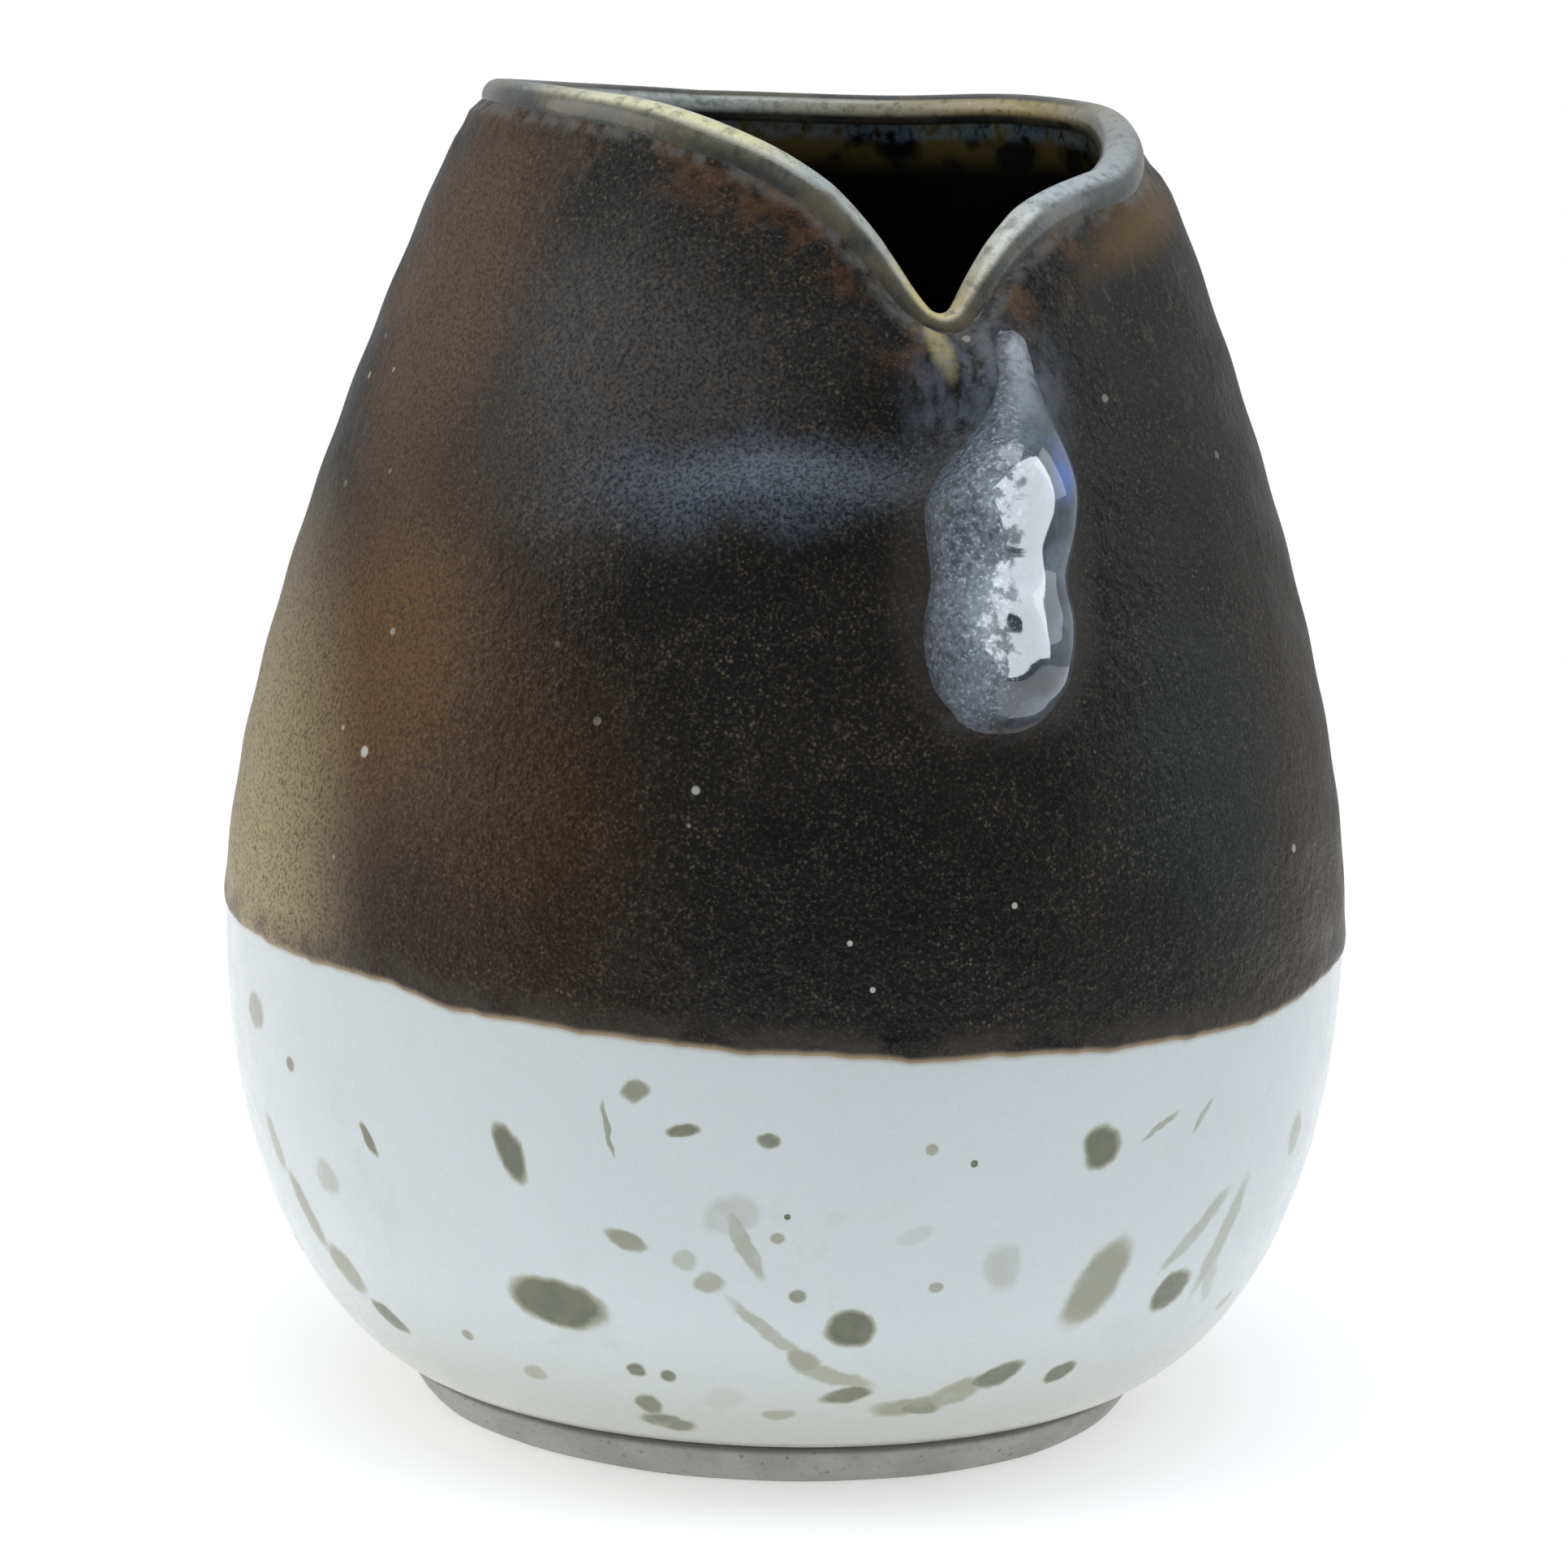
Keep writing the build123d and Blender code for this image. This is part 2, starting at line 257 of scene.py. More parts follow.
class Columns:
    """Columns of mesh that stand straight below and meet the lip square."""

    def __init__(self, finest, coarsest):
        line = smooth_line(LIP_LINE, 6000)
        for _ in range(60):
            line[1:-1] = (line[:-2] + 2 * line[1:-1] + line[2:]) / 4
        azimuth, height = line.T
        radius = np.interp(height, profile_z, profile_r)
        level = np.interp(height, profile_z, profile_s)
        steps = np.hypot(np.diff(np.radians(azimuth)) * (radius[1:] + radius[:-1]) / 2, np.diff(level))
        along = np.concatenate([[0], np.cumsum(steps)])
        spacing = np.interp(np.abs(azimuth - V_AZIMUTH), [0, 14, 90], [finest, finest * 1.3, coarsest])
        counted = np.concatenate([[0], np.cumsum(steps / ((spacing[1:] + spacing[:-1]) / 2))])
        self.count = int(counted[-1])
        at = np.linspace(0, counted[-1], self.count, endpoint=False)
        where = np.interp(at, counted, along)
        self.azimuth = np.interp(where, along, azimuth)
        self.height = np.interp(where, along, height)
        radius = np.interp(self.height, profile_z, profile_r)
        step = 0.3
        ahead = [np.interp(where + step, along, v) for v in (azimuth, level)]
        behind = [np.interp(where - step, along, v) for v in (azimuth, level)]
        side = np.radians(ahead[0] - behind[0]) * radius
        rise = ahead[1] - behind[1]
        size = np.hypot(side, rise)
        self.free = (-rise / size, side / size)     # towards the free side: sideways, up the wall
        middle = np.interp(V_AZIMUTH, azimuth, along)
        left, right = middle, along[-1] - middle
        self.base = np.where(
            where < middle,
            V_AZIMUTH - (180 + V_AZIMUTH) * (middle - where) / left,
            V_AZIMUTH + (180 - V_AZIMUTH) * (where - middle) / right,
        )
        self.roll = np.interp(
            np.abs(self.azimuth - V_AZIMUTH),
            [0, 3, 18, 45, 95],
            [LIP_ROLL_NOTCH, LIP_ROLL_NOTCH, LIP_ROLL, LIP_ROLL, LIP_ROLL_BACK],
        )

    def rows(self, first, growth, count):
        """Azimuths and heights from the level row up to the lip, and each one's distance from the lip."""
        k = np.arange(count + 1)
        gap = first * k + growth * k * k
        t = (gap / gap[-1])[None, :]
        s0 = np.interp(LEVEL_Z, profile_z, profile_s)
        s1 = np.interp(self.height, profile_z, profile_s)[:, None]
        a0, a1 = np.radians(self.base)[:, None], np.radians(self.azimuth)[:, None]
        radius = np.interp(self.height, profile_z, profile_r)[:, None]
        reach = np.hypot((a1 - a0) * radius, s1 - s0)
        ta, ts = self.free[0][:, None] / radius * reach, self.free[1][:, None] * reach
        azimuth = hermite(t, 1, a0, 0, a1, ta)
        level = hermite(t, 1, s0, reach, s1, ts)
        height = np.interp(level, profile_s, profile_z)
        local = np.interp(height, profile_z, profile_r)
        steps = np.hypot(np.diff(azimuth, axis=1) * local[:, 1:], np.diff(level, axis=1))
        above = np.cumsum(steps[:, ::-1], axis=1)[:, ::-1]
        gap = np.concatenate([above, np.zeros((self.count, 1))], axis=1)
        return np.degrees(azimuth), height, gap


def lip_ring(columns, angles):
    """Points round the rolled lip for each column; angle 0 faces out and 90 is the free edge."""
    across, up, out = frame_at(columns.azimuth, columns.height)
    free = across * columns.free[0][:, None] + up * columns.free[1][:, None]
    middle = on_wall(columns.azimuth, columns.height, lip_shift(columns) - WALL / 2)
    angle = np.radians(angles)[None, :, None]
    roll = columns.roll[:, None, None]
    return middle[:, None] + roll * (np.cos(angle) * out[:, None] + np.sin(angle) * free[:, None])


def lip_lean(azimuth):
    return np.interp(azimuth, *np.array(LIP_LEAN).T)


def lip_shift(columns):
    return unevenness(columns.azimuth, columns.height) + UPPER_STEP + lip_lean(columns.azimuth)


def beside_lip(columns, gap, wall_half, pinch):
    """Half thickness of the wall by distance from the middle of the lip, with the crease under the roll."""
    edge = columns.roll[:, None]
    start = edge * sin(radians(CREASE_ANGLE))
    at_edge = edge * cos(radians(CREASE_ANGLE))
    soft = wall_half - pinch * np.exp(-((gap - 2.7) / 1.7) ** 2)
    near = np.exp(-np.maximum(gap - start, 0) / 0.8)
    return soft * (1 - near) + at_edge * near


# --- meshes
def make_object(name, points, faces, attributes=()):
    mesh = bpy.data.meshes.new(name)
    corners = [tuple(int(i) for i in face) for face in faces]
    mesh.from_pydata([tuple(p) for p in np.asarray(points) * MM], [], corners)
    for key, values in dict(attributes).items():
        layer = mesh.attributes.new(key, "FLOAT", "POINT")
        layer.data.foreach_set("value", np.asarray(values, np.float32).ravel())
    mesh.polygons.foreach_set("use_smooth", [True] * len(mesh.polygons))
    mesh.update()
    made = bpy.data.objects.new(name, mesh)
    bpy.context.scene.collection.objects.link(made)
    return made


def ring_grid(columns, rows):
    """Faces of a closed ring of columns with this many rows each."""
    c, r = np.meshgrid(np.arange(columns), np.arange(rows - 1), indexing="ij")
    a = c * rows + r
    b = (c + 1) % columns * rows + r
    return np.stack([a, b, b + 1, a + 1], -1).reshape(-1, 4)


def turned(name, section, count, out=None):
    """Surface of revolution from (radius, height) points, with a touch of unevenness."""
    section = np.array(section, float)
    azimuth = np.arange(count) * 360 / count
    shift = 0 if out is None else out(azimuth[:, None], section[None, :, 1])
    a = np.radians(azimuth)[:, None]
    radius = np.broadcast_to(section[:, 0] + shift, (count, len(section)))
    z = np.broadcast_to(section[:, 1], radius.shape)
    points = np.stack([radius * np.sin(a), -radius * np.cos(a), z], -1).reshape(-1, 3)
    return make_object(name, points, ring_grid(count, len(section)))


FINE_COLUMN = 0.42          # width of the mesh's columns at the V and behind
COARSE_COLUMN = 0.95
FIRST_ROW = 0.34
ROW_GROWTH = 0.0075
WALL_ROWS = 62              # an even number, since the liner takes every second row
COAT_COLUMNS = 320
COAT_ROWS = 62
FAR_FROM_LIP = 60.0

columns = Columns(FINE_COLUMN, COARSE_COLUMN)
wall_azimuth, wall_height, wall_gap = columns.rows(FIRST_ROW, ROW_GROWTH, WALL_ROWS)
crease_start = columns.roll * sin(radians(CREASE_ANGLE))


def snap_to_crease(azimuth, height, gap):
    """Cuts each column where the roll of the lip begins, keeping its number of rows."""
    new_a, new_z, new_gap = (np.empty_like(gap) for _ in range(3))
    for i in range(columns.count):
        total = gap[i, 0]
        target = crease_start[i] + (gap[i] / total) * (total - crease_start[i])
        order = np.argsort(gap[i])
        new_a[i] = np.interp(target, gap[i][order], azimuth[i][order])
        new_z[i] = np.interp(target, gap[i][order], height[i][order])
        new_gap[i] = target
    return new_a, new_z, new_gap


wall_azimuth, wall_height, wall_gap = snap_to_crease(wall_azimuth, wall_height, wall_gap)
near_lip = np.clip(1 - (wall_gap - 1) / 6, 0, 1)
near_lip = near_lip * near_lip * (3 - 2 * near_lip)


def glaze_edge(azimuth):
    a = np.radians(azimuth)
    line = np.interp(azimuth, *np.array(GLAZE_LINE).T)
    ragged = 0.0
    for k, size, turn in EDGE_WAVES:
        ragged = ragged + size * np.sin(k * a + turn + 1.5 * np.sin(3 * a + turn))
    return line + ragged


# Brown coat: thick edge at its foot, straight columns, then the lapels up to the crease
edge = glaze_edge(columns.base)[:, None]
edge_steps = np.array([
    (-0.05, -0.75), (-0.12, -0.35), (-0.1, -0.1), (0.05, 0.05),
    (0.3, 0.1), (0.7, 0.12), (1.3, 0.08), (2.1, 0.02),
])
edge_top = edge + edge_steps[-1, 0]
straight = np.linspace(0, 1, 30)[None, 1:-1]
low_height = np.concatenate(
    [edge + edge_steps[None, :, 0], edge_top + (LEVEL_Z - edge_top) * straight], axis=1,
)
low_azimuth = np.broadcast_to(columns.base[:, None], low_height.shape)
edge_bulge = np.broadcast_to(edge_steps[None, :, 1], (columns.count, len(edge_steps)))
low_bulge = np.concatenate([edge_bulge, np.zeros((columns.count, straight.size))], axis=1)
low_out = UPPER_STEP + low_bulge + unevenness(low_azimuth, low_height) + skirt(low_azimuth, low_height)
outer_half = beside_lip(columns, wall_gap, WALL / 2, 0.6)
full = outer_half - WALL / 2 + UPPER_STEP
lean_out = lip_lean(wall_azimuth) * near_lip
tails = lapel_tail(wall_azimuth, wall_height)
wall_out = full + lean_out + unevenness(wall_azimuth, wall_height)
wall_out = wall_out + (skirt(wall_azimuth, wall_height) + tails) * (1 - near_lip ** 6)
lip_shift_full = lip_shift(columns)[:, None]
uneven_mix = near_lip ** 4
at_lip = outer_half - WALL / 2 + lip_shift_full + tails * 0.5
wall_out = wall_out * (1 - uneven_mix) + at_lip * uneven_mix
upper_azimuth = np.concatenate([low_azimuth, wall_azimuth], axis=1)
upper_height = np.concatenate([low_height, wall_height], axis=1)
upper_out = np.concatenate([low_out, wall_out], axis=1)
upper_points = on_wall(upper_azimuth, upper_height, upper_out)
upper_gap = np.concatenate([np.full(low_height.shape, FAR_FROM_LIP), wall_gap], axis=1)
above_edge = upper_height - edge
pot_upper = make_object(
    "pot_upper", upper_points.reshape(-1, 3), ring_grid(columns.count, upper_points.shape[1]),
    {"lip_gap": upper_gap, "above_edge": above_edge},
)

# Rolled lip
angles = np.linspace(-CREASE_ANGLE, 180 + CREASE_ANGLE, 30)
lip_points = lip_ring(columns, angles)
lip_points[:, 0] = upper_points[:, -1]
lip_angle = np.broadcast_to(angles[None], lip_points.shape[:2])
pot_lip = make_object(
    "pot_lip", lip_points.reshape(-1, 3), ring_grid(columns.count, len(angles)),
    {"lip_angle": lip_angle},
)

# Liner: down the inside from the lip, then the bowl
inside_half = beside_lip(columns, wall_gap, WALL / 2, 0.35)
inner_wobble = unevenness(wall_azimuth, wall_height) * 0.6
inner_out = -WALL / 2 - inside_half + UPPER_STEP + inner_wobble
inner_out = inner_out * (1 - uneven_mix) + (-WALL / 2 - inside_half + lip_shift_full) * uneven_mix
inner_top = on_wall(wall_azimuth, wall_height, inner_out)[:, ::-2]
inner_gap = wall_gap[:, ::-2]
lip_points[:, -1] = inner_top[:, 0]
pot_lip.data.vertices.foreach_set("co", (lip_points.reshape(-1) * MM).astype(np.float32))
inner_bowl = bezier(
    (0.4, FLOOR_Z),
    (FLOOR_SPREAD, FLOOR_Z),
    (BELLY_R - WALL, BELLY_Z - INNER_FULLNESS),
    (BELLY_R - WALL, BELLY_Z),
    34,
)[::-1]
down = np.linspace(LEVEL_Z, BELLY_Z, 14)[1:-1]
down_points = on_wall(columns.base[:, None], np.broadcast_to(down[None], (columns.count, down.size)), -WALL)
a = np.radians(columns.base)[:, None]
spiral = 0.12 * np.sin(inner_bowl[None, :, 0] * 1.1 + a)
bowl_points = np.stack([
    inner_bowl[None, :, 0] * np.sin(a), -inner_bowl[None, :, 0] * np.cos(a), inner_bowl[None, :, 1] + spiral
], -1)
liner_points = np.concatenate([inner_top, down_points, bowl_points], axis=1)
liner_gap = np.concatenate(
    [inner_gap, np.full((columns.count, down.size + len(inner_bowl)), FAR_FROM_LIP)], axis=1,
)
rows = liner_points.shape[1]
liner_faces = list(ring_grid(columns.count, rows))
floor_ring = [i * rows + rows - 1 for i in range(columns.count)]
liner_faces.append(floor_ring)
pot_liner = make_object("pot_liner", liner_points.reshape(-1, 3), liner_faces, {"lip_gap": liner_gap})

# White coat, from the foot to under the brown one
coat_azimuth = np.arange(COAT_COLUMNS) * 360 / COAT_COLUMNS - 180
coat_top = glaze_edge(coat_azimuth)[:, None] + COAT_OVERLAP
share = np.linspace(0, 1, COAT_ROWS)[None]
coat_height = FOOT_TOP + (coat_top - FOOT_TOP) * share
coat_azimuth = np.broadcast_to(coat_azimuth[:, None], coat_height.shape)
coat_out = unevenness(coat_azimuth, coat_height) * np.clip((coat_height - FOOT_TOP) / 6, 0.15, 1)
coat_out = coat_out - 0.3 * np.exp(-((coat_height - FOOT_TOP) / 0.5) ** 2)
coat_points = on_wall(coat_azimuth, coat_height, coat_out)
pot_lower = make_object(
    "pot_lower", coat_points.reshape(-1, 3), ring_grid(COAT_COLUMNS, COAT_ROWS),
    {"below_edge": coat_top - COAT_OVERLAP - coat_height},
)


def foot_out(azimuth, height):
    a = np.radians(azimuth)
    return 0.1 * np.sin(3 * a + 1) + 0.06 * np.sin(7 * a) + 0.04 * np.sin(17 * a + height)


foot_section = [
    (FOOT_R - 1.6, FOOT_TOP + 0.9), (FOOT_R - 0.4, FOOT_TOP + 0.35), (FOOT_R + 0.02, FOOT_TOP + 0.05),
    (FOOT_R + 0.1, FOOT_TOP - 0.25), (FOOT_R - 0.12, FOOT_TOP - 0.8), (FOOT_R - 0.5, FOOT_TOP - 1.5),
    (FOOT_R - 0.95, FOOT_TOP - 2.2), (FOOT_R - 1.35, 0.62), (FOOT_R - 1.75, 0.25), (FOOT_R - 2.3, 0.05),
    (FOOT_R - 3.0, 0.0), (FOOT_R - 4.2, 0.0), (FOOT_R - 5.4, 0.0), (FOOT_R - 6.1, 0.06),
    (FOOT_R - 6.6, 0.3), (FOOT_R - 6.9, 0.7), (FOOT_R - 7.1, 1.3), (FOOT_R - 7.1, FOOT_TOP + 0.9),
]
foot_section.append(foot_section[0])
foot_section = foot_section[::-1]
pot_foot = turned("pot_foot", foot_section, 240, out=foot_out)

base_section = [
    (0.3, 1.0), (4, 1.06), (8, 1.0), (12, 1.1), (16, 1.02), (20, 1.12), (22.6, 1.05), (24.2, 1.1),
    (24.2, 3.6), (0.3, 3.6),
]
dense = []
for (r0, z0), (r1, z1) in zip(base_section, base_section[1:]):
    for t in np.linspace(0, 1, 6)[:-1]:
        dense.append((r0 + (r1 - r0) * t, z0 + (z1 - z0) * t))
dense.append(base_section[-1])
dense.append(base_section[0])
pot_base = turned("pot_base", dense, 120)


# Applied drop: rings across it from foot to neck
def drop_points():
    foot, neck = 66, 88
    levels = np.concatenate([
        np.linspace(DROP[0][0], foot, 22),
        np.linspace(foot, neck, 44)[1:],
        np.linspace(neck, DROP[-1][0], 18)[1:],
    ])
    around = np.linspace(0, 2 * pi, 64, endpoint=False)
    table = np.array(DROP)
    smooth = [smooth_values(table[:, 0], table[:, k], levels) for k in (1, 2, 3)]
    middle, half, stand = (v[:, None] for v in smooth)
    side = np.cos(around)[None]
    front = np.sin(around)[None]
    across = half * np.sign(side) * np.abs(side) ** 0.92
    rise = np.where(front > 0, stand * np.abs(front) ** 0.95, -DROP_BURIED * np.abs(front))
    level = np.broadcast_to(levels[:, None], across.shape)
    radius = np.interp(level, profile_z, profile_r)
    azimuth = middle + np.degrees(across / radius)
    uneven = 0.07 * np.sin(level * 1.1 + across) * np.clip(front, 0, 1)
    dimple = np.exp(-((across - DROP_HOLLOW[0]) / 1.5) ** 2 - ((level - DROP_HOLLOW[1]) / 1.7) ** 2)
    dimple = -DROP_HOLLOW_DEPTH * dimple * np.clip(front, 0, 1)
    out = rise + uneven + dimple + unevenness(azimuth, level) + UPPER_STEP
    points = on_wall(azimuth, level, out)
    count, rows = points.shape[1], points.shape[0]
    faces = []
    for r in range(rows - 1):
        for c in range(count):
            n = (c + 1) % count
            faces.append((r * count + c, (r + 1) * count + c, (r + 1) * count + n, r * count + n))
    faces.append(list(range(count)))
    faces.append([(rows - 1) * count + c for c in range(count)][::-1])
    return points.reshape(-1, 3), faces, {"stand": rise, "level": level, "across": across}


pot_drop = make_object("pot_drop", *drop_points())


# --- materials
class Look:
    """A material made of nodes. Sockets given as inputs are linked, other values are set."""

    def __init__(self, name):
        self.material = bpy.data.materials.new(name)
        self.material.use_nodes = True
        self.tree = self.material.node_tree
        self.tree.nodes.clear()
        coords = self.add("ShaderNodeTexCoord").outputs["Object"]
        self.place = self.scaled(coords, 1 / MM)
        self.colour = None

    def add(self, kind, values=None, **settings):
        node = self.tree.nodes.new(kind)
        for key, value in settings.items():
            setattr(node, key, value)
        for key, value in (values or {}).items():
            if isinstance(value, bpy.types.NodeSocket):
                self.tree.links.new(value, node.inputs[key])
            else:
                node.inputs[key].default_value = value
        return node

    def scaled(self, vector, amount):
        node = self.add("ShaderNodeVectorMath", {0: vector}, operation="SCALE")
        node.inputs["Scale"].default_value = amount
        return node.outputs[0]

    def vector(self, operation, a, b):
        return self.add("ShaderNodeVectorMath", {0: a, 1: b}, operation=operation).outputs[0]

    def stretched(self, vector, scale):
        return self.add("ShaderNodeMapping", {"Vector": vector, "Scale": scale}).outputs[0]

    def noise(self, size, detail=2.0, roughness=0.5, vector=None, distortion=0.0):
        """Noise whose features are about this many millimetres across, from 0 to 1."""
        node = self.add("ShaderNodeTexNoise", {
            "Vector": vector or self.place, "Scale": 1 / size, "Detail": detail, "Roughness": roughness,
            "Distortion": distortion,
        })
        return node.outputs["Fac"]

    def cells(self, size, randomness=1.0, vector=None, feature="F1"):
        node = self.add("ShaderNodeTexVoronoi", {
            "Vector": vector or self.place, "Scale": 1 / size, "Randomness": randomness,
        }, feature=feature)
        return node.outputs["Distance"]

    def math(self, operation, a, b=0.0, clamp=False):
        return self.add("ShaderNodeMath", {0: a, 1: b}, operation=operation, use_clamp=clamp).outputs[0]

    def times(self, *values):
        out = values[0]
        for value in values[1:]:
            out = self.math("MULTIPLY", out, value)
        return out

    def ramp(self, value, low, high, to_low=0.0, to_high=1.0):
        """Smooth step of a value between low and high."""
        return self.add("ShaderNodeMapRange", {
            "Value": value, "From Min": low, "From Max": high, "To Min": to_low, "To Max": to_high,
        }, interpolation_type="SMOOTHSTEP").outputs[0]

    def mix(self, amount, a, b, blend="MIX"):
        node = self.add("ShaderNodeMix", data_type="RGBA", blend_type=blend)
        for index, value in ((0, amount), (6, a), (7, b)):
            if isinstance(value, bpy.types.NodeSocket):
                self.tree.links.new(value, node.inputs[index])
            else:
                node.inputs[index].default_value = (*value, 1) if isinstance(value, tuple) else value
        return node.outputs[2]

    def attribute(self, name):
        return self.add("ShaderNodeAttribute", attribute_name=name).outputs["Fac"]

    def towards(self, azimuth):
        """How far a point lies towards an azimuth, in millimetres from the axis."""
        a = radians(azimuth)
        return self.add(
            "ShaderNodeVectorMath", {0: self.place, 1: (sin(a), -cos(a), 0)}, operation="DOT_PRODUCT"
        ).outputs["Value"]

    def azimuth(self):
        """Degrees from -Y towards +X."""
        place = self.add("ShaderNodeSeparateXYZ", {0: self.place})
        forward = self.math("MULTIPLY", place.outputs["Y"], -1.0)
        return self.math("DEGREES", self.math("ARCTAN2", place.outputs["X"], forward))

    def height(self):
        return self.add("ShaderNodeSeparateXYZ", {0: self.place}).outputs["Z"]

    def warped(self, size, amount):
        """Places pushed about by noise of this size, so that a patch gets a ragged outline."""
        noise = self.add("ShaderNodeTexNoise", {"Vector": self.place, "Scale": 1 / size, "Detail": 2.0})
        centred = self.vector("SUBTRACT", noise.outputs["Color"], (0.5, 0.5, 0.5))
        return self.vector("ADD", self.place, self.scaled(centred, amount))

    def patch(self, vector, azimuth, height, width, tall, tilt=0.0, hard=0.75, soft=1.2, depth=9.0):
        """Oval patch on the wall, 1 inside and 0 outside."""
        radius = float(np.interp(height, profile_z, profile_r))
        a = radians(azimuth)
        moved = self.add("ShaderNodeMapping", {
            "Vector": vector,
            "Location": (radius * sin(a), -radius * cos(a), height),
            "Rotation": (0, radians(tilt), a),
            "Scale": (width / 2, depth, tall / 2),
        }, vector_type="TEXTURE").outputs[0]
        size = self.add("ShaderNodeVectorMath", {0: moved}, operation="LENGTH").outputs["Value"]
        return self.ramp(size, soft, hard)

    def bumps(self, *layers):
        """Bump nodes one after another: height from 0 to 1, and its depth in millimetres."""
        normal = None
        for value, depth in layers:
            values = {"Height": value, "Distance": depth * MM, "Strength": 1.0}
            if normal is not None:
                values["Normal"] = normal
            normal = self.add("ShaderNodeBump", values).outputs[0]
        return normal

    def paint(self, tint, *masks, blend="MIX"):
        """Lays a tint over the colour so far, where the masks agree."""
        self.colour = self.mix(self.times(*masks), self.colour, tint, blend)

    def surface(self, roughness, normal, **fixed):
        values = {"Base Color": self.colour, "Roughness": roughness, "Normal": normal}
        values.update(fixed)
        shader = self.add("ShaderNodeBsdfPrincipled", values)
        self.add("ShaderNodeOutputMaterial", {"Surface": shader.outputs[0]})
        return self.material


def brown_look():
    look = Look("tenmoku_brown")
    height = look.height()
    left = look.towards(-72)
    far_left = look.towards(-100)
    right = look.towards(62)
    cloud = look.noise(16, 3, 0.55)
    tone = look.noise(5, 3, 0.6)
    flow = look.noise(1.3, 3, 0.6, vector=look.stretched(look.place, (1, 1, 0.35)))
    grain = look.noise(0.42, 2, 0.65)
    dots = look.cells(0.62)
    black, umber = (0.0052, 0.006, 0.0062), (0.013, 0.0115, 0.01)
    look.colour = look.mix(look.ramp(cloud, 0.42, 0.7), black, umber)
    # Rust-brown on the left: partly the glaze's own rust, partly painted light where the left side faces
    # the lamp.
    rust_and_lit_zone = look.times(
        look.ramp(left, 32, 45), look.ramp(cloud, 0.2, 0.5, 0.55, 1), look.ramp(height, 46, 56, 0.45, 1),
    )
    look.paint((0.06, 0.027, 0.009), rust_and_lit_zone)
    # Amber low on the left: partly glaze colour, partly painted light on the lit left side.
    amber_and_lit_zone = look.patch(look.warped(9, 8), -70, 66, 26, 30, 0, 0.25, 1.25, 30)
    look.paint((0.115, 0.05, 0.008), amber_and_lit_zone, 0.85)
    # Warm brown high on the left: partly glaze colour, partly painted light on the lit left side.
    top_left = look.patch(look.warped(9, 8), -80, 93, 24, 34, 0, 0.3, 1.25, 30)
    look.paint((0.16, 0.078, 0.035), top_left, 0.6)
    # Pale tan along the far left edge: partly glaze colour, partly a painted reflection of the bright room
    # at the grazing edge.
    look.paint((0.5, 0.4, 0.22), look.ramp(far_left, 37, 45.5), 0.75)
    # Brown along the right edge: partly glaze colour, partly a painted reflection of the window at the
    # grazing edge.
    look.paint((0.055, 0.036, 0.02), look.ramp(right, 33, 46), 0.75)
    teal_zone = look.patch(look.warped(12, 12), 27, 56, 22, 34, 0, 0.2, 1.3, 30)
    look.paint((0.012, 0.022, 0.022), teal_zone, 0.7)
    # Purple-grey haze on the upper left is a painted reflection of the left softbox.
    reflection_haze_zone = look.patch(look.warped(10, 10), -42, 88, 30, 26, 0, 0.2, 1.3, 30)
    look.paint((0.065, 0.062, 0.062), reflection_haze_zone, 0.9)
    # pale brown specks and flecks in the dark
    speck = look.times(look.ramp(dots, 0.3, 0.12), look.ramp(tone, 0.42, 0.62))
    look.paint((0.11, 0.082, 0.05), speck, 0.75)
    dust = look.times(
        look.ramp(look.cells(0.36), 0.34, 0.16), look.ramp(look.noise(2.2, 3, 0.7), 0.4, 0.66),
    )
    look.paint((0.075, 0.052, 0.03), dust, 0.6)
    grit = look.times(look.ramp(look.cells(0.5), 0.3, 0.15), look.ramp(look.noise(1.2, 3, 0.7), 0.36, 0.6))
    look.paint((0.1, 0.072, 0.042), grit, 0.5)
    fleck = look.times(look.ramp(flow, 0.56, 0.7), look.ramp(height, 70, 96), 0.55)
    look.paint((0.085, 0.058, 0.036), fleck)
    pebble = look.noise(0.3, 2, 0.6)
    # Blue-grey band along the pressed step is a painted reflection of the light above.
    crease = look.patch(look.warped(8, 6), -26, 80.8, 34, 9, -3, 0.05, 1.25, 9)
    look.paint((0.09, 0.11, 0.145), crease, look.ramp(pebble, 0.3, 0.68, 0.45, 1))
    look.paint(black, look.ramp(pebble, 0.5, 0.36), 0.6)
    raised = look.times(look.ramp(pebble, 0.52, 0.68), look.ramp(tone, 0.25, 0.65, 0.45, 1))
    look.paint((0.036, 0.029, 0.02), raised, blend="ADD")
    # thin coat breaks orange and grey just under the lip
    gap = look.attribute("lip_gap")
    thin = look.times(look.ramp(gap, 6.5, 2.2), look.ramp(look.noise(4, 3, 0.6), 0.46, 0.64))
    look.paint((0.15, 0.07, 0.028), thin, 0.5)
    right_amber = look.times(look.ramp(look.towards(50), 26.5, 30), look.ramp(gap, 7.5, 2.4))
    look.paint((0.16, 0.09, 0.02), right_amber, 0.85)
    grey_rim = look.times(look.ramp(gap, 2.6, 1.5), look.ramp(look.noise(1.6, 3), 0.35, 0.6))
    look.paint((0.16, 0.16, 0.15), grey_rim, 0.55)
    tip = look.patch(look.warped(1.5, 0.6), -2.7, 90.9, 2.2, 6.2, -14, 0.3, 1.15, 5)
    look.paint((0.42, 0.36, 0.17), tip, look.ramp(look.noise(0.6, 3), 0.3, 0.5, 0.5, 0.95))
    ridge = look.patch(look.warped(1.5, 0.8), 3.6, 90.8, 1.3, 4.5, 8, 0.2, 1.2, 4)
    look.paint((0.3, 0.29, 0.26), ridge, 0.4)
